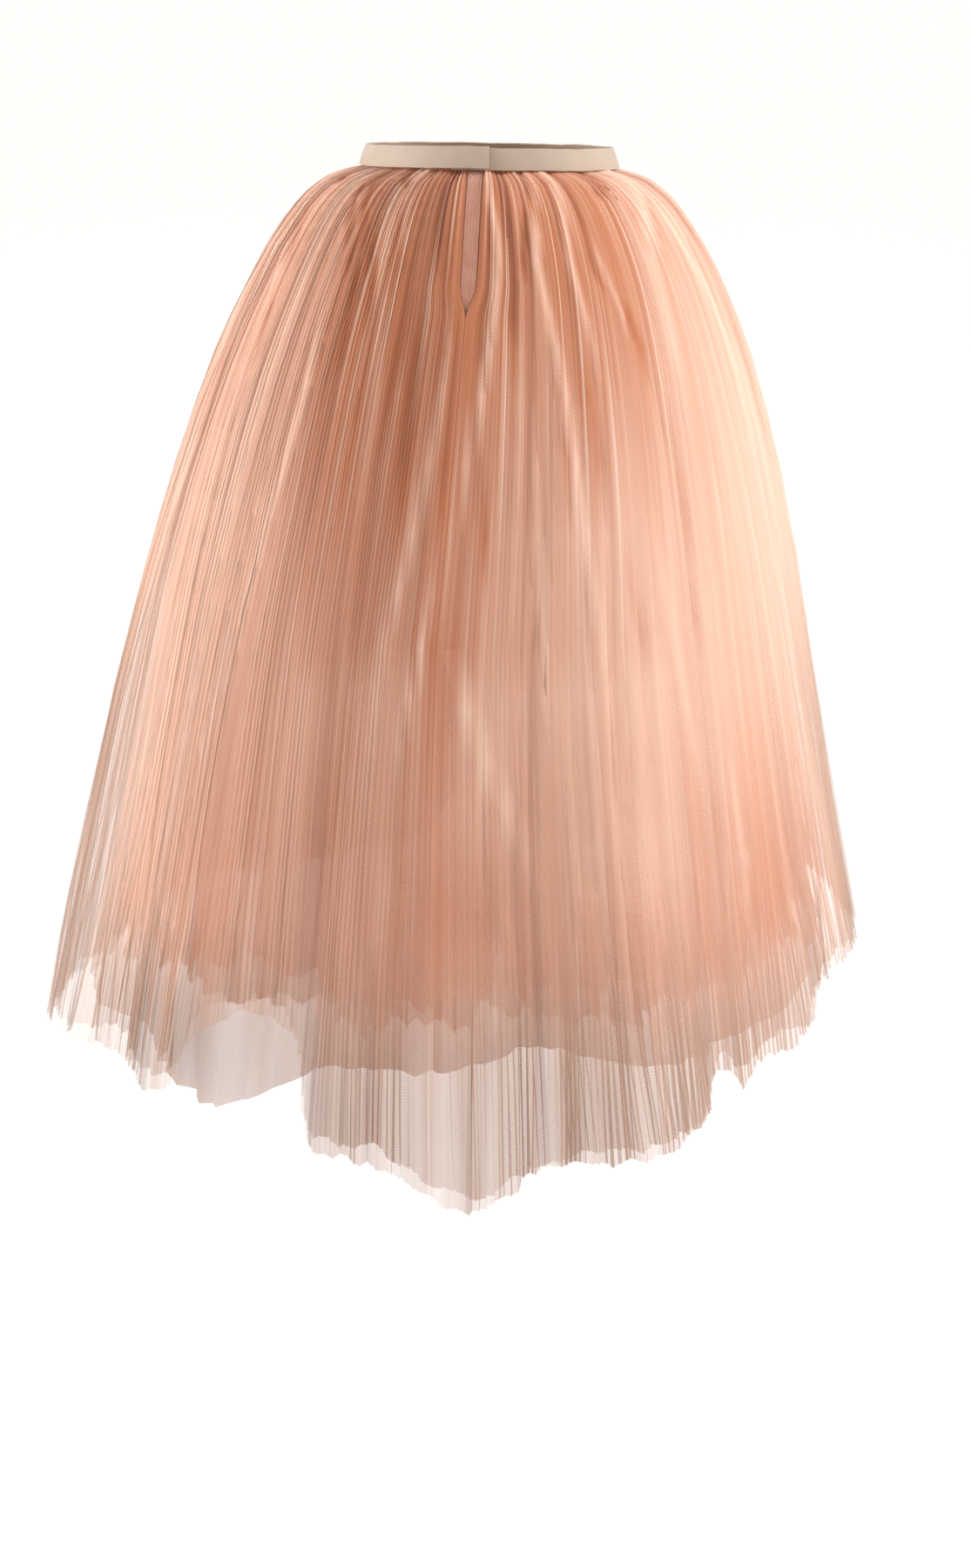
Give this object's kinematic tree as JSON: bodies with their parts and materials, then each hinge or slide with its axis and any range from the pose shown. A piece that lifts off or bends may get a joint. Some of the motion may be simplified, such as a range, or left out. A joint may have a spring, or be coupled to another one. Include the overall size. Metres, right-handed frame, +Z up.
{
  "type": "tulle skirt",
  "caption": "Full ballet-length skirt of layered pleated net over a short slip, on a ribbon waistband that laps at the centre back; hollow and open at waist and hem.",
  "frame": {"origin": "middle of the waist opening, halfway up the waistband", "axes": "+Z up, +Y to the wearer's front, +X to the wearer's right; the lapped closure faces -Y"},
  "size_m": [0.7859, 0.6455, 0.8407],
  "materials": {
    "outer_net": "sheer, soft sheen",
    "middle_net": "sheer, matt",
    "under_net": "sheer, matt",
    "slip": "satin",
    "placket": "sheer, matt",
    "waistband": "satin ribbon"
  },
  "bodies": {
    "root": {"outer_net_front": "outer_net", "outer_net_back_left": "outer_net", "outer_net_back_right": "outer_net", "middle_net_front": "middle_net", "middle_net_back_left": "middle_net", "middle_net_back_right": "middle_net", "under_net_front": "under_net", "under_net_back_left": "under_net", "under_net_back_right": "under_net", "slip_front": "slip", "slip_back_left": "slip", "slip_back_right": "slip", "back_placket": "placket", "waistband": "waistband"}
  },
  "joints": []
}
